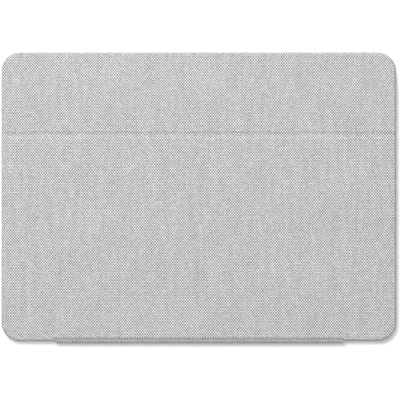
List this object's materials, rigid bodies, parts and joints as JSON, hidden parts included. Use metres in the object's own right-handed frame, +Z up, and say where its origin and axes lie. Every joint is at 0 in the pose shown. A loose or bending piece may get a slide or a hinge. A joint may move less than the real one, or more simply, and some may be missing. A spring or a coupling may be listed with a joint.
{
  "type": "tablet keyboard case",
  "caption": "Closed tablet keyboard case in light grey woven fabric: a tray with a fold-out stand in its back, joined by a fabric spine to a slim keyboard with a trackpad.",
  "frame": {"origin": "bottom centre of the closed case's bounding box", "axes": "+X along the long side, +Y from the spine to the free edge, +Z up out of the cloth face"},
  "size_m": [0.2556, 0.1886, 0.0188],
  "materials": {
    "outer_fabric": "light grey plain weave of light and dark yarns",
    "spine_cloth": "finer grey weave",
    "lining_cloth": "soft grey microfibre",
    "shell_plastic": "fine matt grey",
    "deck_plastic": "fine matt light grey",
    "bumper_rubber": "soft grey",
    "key_plastic": "matt pale grey",
    "trackpad_plastic": "smooth satin grey",
    "board_plastic": "dark grey sheet",
    "hinge_steel": "plain steel",
    "magnet_plate": "nickel plated",
    "silicone": "milky silicone",
    "link_plastic": "white moulded plastic",
    "membrane_film": "clear printed film",
    "cell_foil": "foil pouch",
    "circuit": "green circuit board",
    "light_pipe": "clear white"
  },
  "bodies": {
    "keyboard": {"keyboard_fabric": "outer_fabric", "base_shell": "shell_plastic", "keyboard_deck": "deck_plastic", "deck_screws": "hinge_steel", "key_backplate": "hinge_steel", "membrane_sheet": "membrane_film", "rubber_domes": "silicone", "function_links": "link_plastic", "number_links": "link_plastic", "upper_letter_links": "link_plastic", "home_letter_links": "link_plastic", "lower_letter_links": "link_plastic", "bottom_row_links": "link_plastic", "space_bar_links": "link_plastic", "trackpad_switch": "hinge_steel", "battery_left": "cell_foil", "battery_right": "cell_foil", "controller_board": "circuit", "charge_socket": "hinge_steel", "status_light": "light_pipe", "slide_switch": "shell_plastic", "keyboard_magnets": "magnet_plate", "lower_spine_crease": "spine_cloth"},
    "spine": {"spine_fabric": "spine_cloth", "spine_board": "board_plastic", "spine_lining": "lining_cloth"},
    "tray": {"tray_shell": "shell_plastic", "tray_bumper": "bumper_rubber", "tray_lining": "lining_cloth", "tray_magnets": "magnet_plate", "kickstand_keepers": "hinge_steel", "upper_spine_crease": "spine_cloth", "upper_spine_flap": "spine_cloth", "spine_anchor_bar": "board_plastic", "upper_back_spacer": "board_plastic", "upper_back_board": "board_plastic", "upper_back_fabric": "outer_fabric", "crease_fabric": "outer_fabric", "hinge_fixed_leaves": "hinge_steel", "hinge_rivets_fixed": "hinge_steel"},
    "kickstand": {"kickstand_board": "board_plastic", "kickstand_fabric": "outer_fabric", "kickstand_lining": "lining_cloth", "kickstand_magnets": "magnet_plate", "hinge_moving_leaves": "hinge_steel", "hinge_pins": "hinge_steel", "hinge_rivets_moving": "hinge_steel"},
    "function_keys": {"function_keys": "key_plastic"},
    "number_keys": {"number_keys": "key_plastic"},
    "upper_letter_keys": {"upper_letter_keys": "key_plastic"},
    "home_letter_keys": {"home_letter_keys": "key_plastic"},
    "lower_letter_keys": {"lower_letter_keys": "key_plastic"},
    "bottom_row_keys": {"bottom_row_keys": "key_plastic"},
    "space_bar": {"space_bar": "key_plastic"},
    "trackpad": {"trackpad": "trackpad_plastic"},
    "power_slider": {"power_slider": "key_plastic"},
    "volume_up_button": {"volume_up_button": "bumper_rubber"},
    "volume_down_button": {"volume_down_button": "bumper_rubber"},
    "power_button": {"power_button": "bumper_rubber"}
  },
  "joints": [
    {"name": "lower_spine_fold", "type": "hinge", "parent": "keyboard", "child": "spine", "pos_m": [0, -0.0936, 0.0007], "axis": [1, 0, 0], "range_deg": [0, 90], "deforming": ["lower_spine_crease"]},
    {"name": "upper_spine_fold", "type": "hinge", "parent": "spine", "child": "tray", "pos_m": [0, -0.0936, 0.0177], "axis": [1, 0, 0], "range_deg": [0, 55], "deforming": ["upper_spine_crease"]},
    {"name": "kickstand_fold", "type": "hinge", "parent": "tray", "child": "kickstand", "pos_m": [0, 0.0409, 0.0171], "axis": [-1, 0, 0], "range_deg": [0, 110], "deforming": ["crease_fabric"]},
    {"name": "function_keys_press", "type": "slide", "parent": "keyboard", "child": "function_keys", "axis": [0, 0, 1], "range_m": [-0.001, 0], "stiffness_N_per_m": 400, "springref_m": 0.0004, "deforming": ["function_links", "rubber_domes"]},
    {"name": "number_keys_press", "type": "slide", "parent": "keyboard", "child": "number_keys", "axis": [0, 0, 1], "range_m": [-0.001, 0], "stiffness_N_per_m": 400, "springref_m": 0.0004, "deforming": ["number_links", "rubber_domes"]},
    {"name": "upper_letter_keys_press", "type": "slide", "parent": "keyboard", "child": "upper_letter_keys", "axis": [0, 0, 1], "range_m": [-0.001, 0], "stiffness_N_per_m": 400, "springref_m": 0.0004, "deforming": ["upper_letter_links", "rubber_domes"]},
    {"name": "home_letter_keys_press", "type": "slide", "parent": "keyboard", "child": "home_letter_keys", "axis": [0, 0, 1], "range_m": [-0.001, 0], "stiffness_N_per_m": 400, "springref_m": 0.0004, "deforming": ["home_letter_links", "rubber_domes"]},
    {"name": "lower_letter_keys_press", "type": "slide", "parent": "keyboard", "child": "lower_letter_keys", "axis": [0, 0, 1], "range_m": [-0.001, 0], "stiffness_N_per_m": 400, "springref_m": 0.0004, "deforming": ["lower_letter_links", "rubber_domes"]},
    {"name": "bottom_row_keys_press", "type": "slide", "parent": "keyboard", "child": "bottom_row_keys", "axis": [0, 0, 1], "range_m": [-0.001, 0], "stiffness_N_per_m": 400, "springref_m": 0.0004, "deforming": ["bottom_row_links", "rubber_domes"]},
    {"name": "space_bar_press", "type": "slide", "parent": "keyboard", "child": "space_bar", "axis": [0, 0, 1], "range_m": [-0.001, 0], "stiffness_N_per_m": 400, "springref_m": 0.0004, "deforming": ["space_bar_links", "rubber_domes"]},
    {"name": "trackpad_click", "type": "hinge", "parent": "keyboard", "child": "trackpad", "pos_m": [0, 0.0266, 0.0041], "axis": [-1, 0, 0], "range_deg": [0, 0.45], "stiffness_Nm_per_rad": 5, "springref_deg": -0.23},
    {"name": "power_slide", "type": "slide", "parent": "keyboard", "child": "power_slider", "axis": [1, 0, 0], "range_m": [0, 0.002]},
    {"name": "volume_up_press", "type": "slide", "parent": "tray", "child": "volume_up_button", "axis": [0, -1, 0], "range_m": [0, 0.0003], "stiffness_N_per_m": 1500, "springref_m": -0.0002},
    {"name": "volume_down_press", "type": "slide", "parent": "tray", "child": "volume_down_button", "axis": [0, -1, 0], "range_m": [0, 0.0003], "stiffness_N_per_m": 1500, "springref_m": -0.0002},
    {"name": "power_press", "type": "slide", "parent": "tray", "child": "power_button", "axis": [1, 0, 0], "range_m": [0, 0.0003], "stiffness_N_per_m": 1500, "springref_m": -0.0002}
  ]
}
